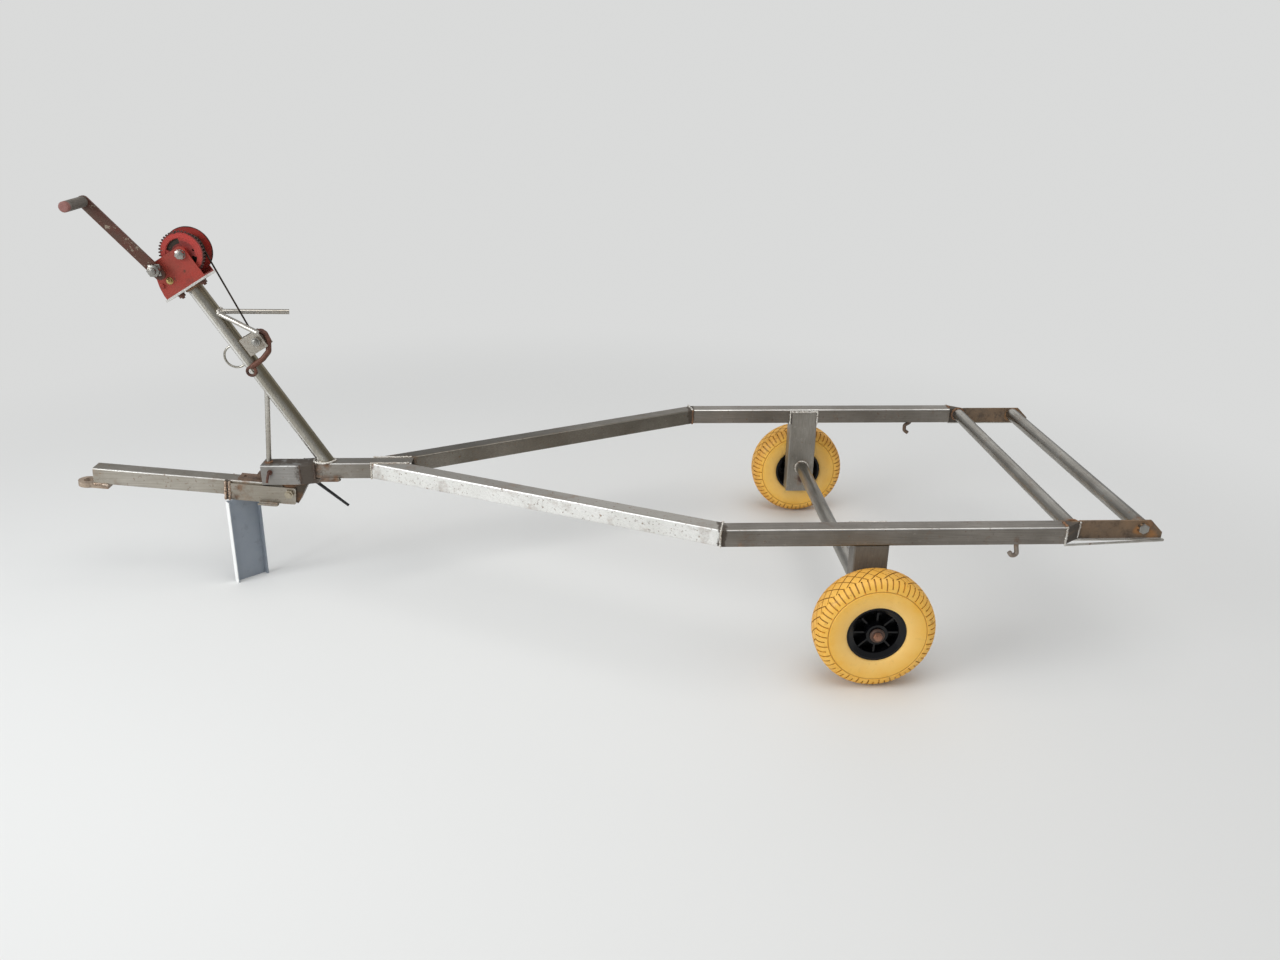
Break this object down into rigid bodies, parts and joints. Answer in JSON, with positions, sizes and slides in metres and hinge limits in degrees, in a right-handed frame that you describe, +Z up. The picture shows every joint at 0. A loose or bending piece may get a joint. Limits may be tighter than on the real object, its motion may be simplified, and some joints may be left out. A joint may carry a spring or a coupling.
{
  "type": "boat trailer",
  "caption": "Small launching trolley: tubular frame on one axle, tilting drawbar with hitch eye and prop leg, hand winch on a leaning post, rear roller.",
  "frame": {"origin": "middle of the overall length and width, on the floor", "axes": "+X to the rear roller, the drawbar's eye is at -X, +Y to the right-hand wheel, +Z up"},
  "size_m": [2.4778, 1.013, 0.9295],
  "materials": {
    "frame_steel": "satin, weathered, rust tinted at the welds",
    "bright_steel": "satin, mottled",
    "rusty_steel": "heavily rusted",
    "dark_rusty_steel": "rusted, greasy",
    "fasteners": "bright zinc",
    "winch_paint": "scuffed red paint",
    "gear_iron": "greasy",
    "drum_paint": "scuffed red paint",
    "cable_wire": "stranded, dull",
    "crank_metal": "worn, browned",
    "grip_plastic": "ribbed, worn",
    "leg_paint": "chalky blue-grey, worn",
    "lever_black": "satin black",
    "roller_steel": "weathered",
    "yellow_tyre": "matt, scuffed",
    "black_rim": "glossy"
  },
  "bodies": {
    "chassis": {"rail_left": "frame_steel", "rail_right": "frame_steel", "angled_rail_left": "bright_steel", "angled_rail_right": "frame_steel", "tongue": "frame_steel", "saddle_box": "frame_steel", "hinge_lug": "frame_steel", "hinge_bolt": "fasteners", "post_brace": "frame_steel", "winch_post": "frame_steel", "winch_plate": "bright_steel", "winch_frame": "winch_paint", "bow_rod_left": "frame_steel", "bow_rod_right": "frame_steel", "hook_bracket": "frame_steel", "winch_hook": "dark_rusty_steel", "winch_cable": "cable_wire", "lock_pin": "fasteners", "release_lever": "lever_black", "axle_leg_left": "frame_steel", "axle_leg_right": "frame_steel", "axle_tube": "frame_steel", "stub_axle_left": "rusty_steel", "stub_axle_right": "rusty_steel", "rear_plate_left": "rusty_steel", "rear_plate_right": "rusty_steel", "cross_tube": "frame_steel", "strap_loop_left": "frame_steel", "strap_loop_right": "frame_steel", "rail_hook_left": "rusty_steel", "rail_hook_right": "rusty_steel"},
    "drawbar": {"drawbar_tube": "frame_steel", "drawbar_cheek_left": "frame_steel", "drawbar_cheek_right": "frame_steel", "hitch_eye": "rusty_steel", "latch_plate": "dark_rusty_steel", "prop_leg": "leg_paint"},
    "wheel_left": {"tyre_left": "yellow_tyre", "rim_left": "black_rim"},
    "wheel_right": {"tyre_right": "yellow_tyre", "rim_right": "black_rim"},
    "roller": {"rear_roller": "roller_steel"},
    "drum": {"winch_gear": "gear_iron", "winch_drum": "drum_paint", "cable_coil": "cable_wire"},
    "crank": {"crank_shaft": "fasteners", "crank_arm": "crank_metal", "crank_grip": "grip_plastic"}
  },
  "joints": [
    {"name": "drawbar_hinge", "type": "hinge", "parent": "chassis", "child": "drawbar", "pos_m": [-0.7316, 0, 0.2325], "axis": [0, 1, 0], "range_deg": [-35, 0]},
    {"name": "wheel_left_spin", "type": "hinge", "parent": "chassis", "child": "wheel_left", "pos_m": [0.6034, -0.464, 0.13], "axis": [0, 1, 0], "continuous": true},
    {"name": "wheel_right_spin", "type": "hinge", "parent": "chassis", "child": "wheel_right", "pos_m": [0.6034, 0.464, 0.13], "axis": [0, 1, 0], "continuous": true},
    {"name": "roller_spin", "type": "hinge", "parent": "chassis", "child": "roller", "pos_m": [1.18789, 0, 0.33248], "axis": [0, 1, 0], "continuous": true},
    {"name": "drum_spin", "type": "hinge", "parent": "chassis", "child": "drum", "pos_m": [-0.91195, 0, 0.80603], "axis": [0, 1, 0], "continuous": true},
    {"name": "crank_spin", "type": "hinge", "parent": "chassis", "child": "crank", "pos_m": [-0.96465, 0, 0.77318], "axis": [0, 1, 0], "continuous": true}
  ],
  "couplings": [
    {"joint": "crank_spin", "follows": "drum_spin", "ratio": -3.5}
  ]
}
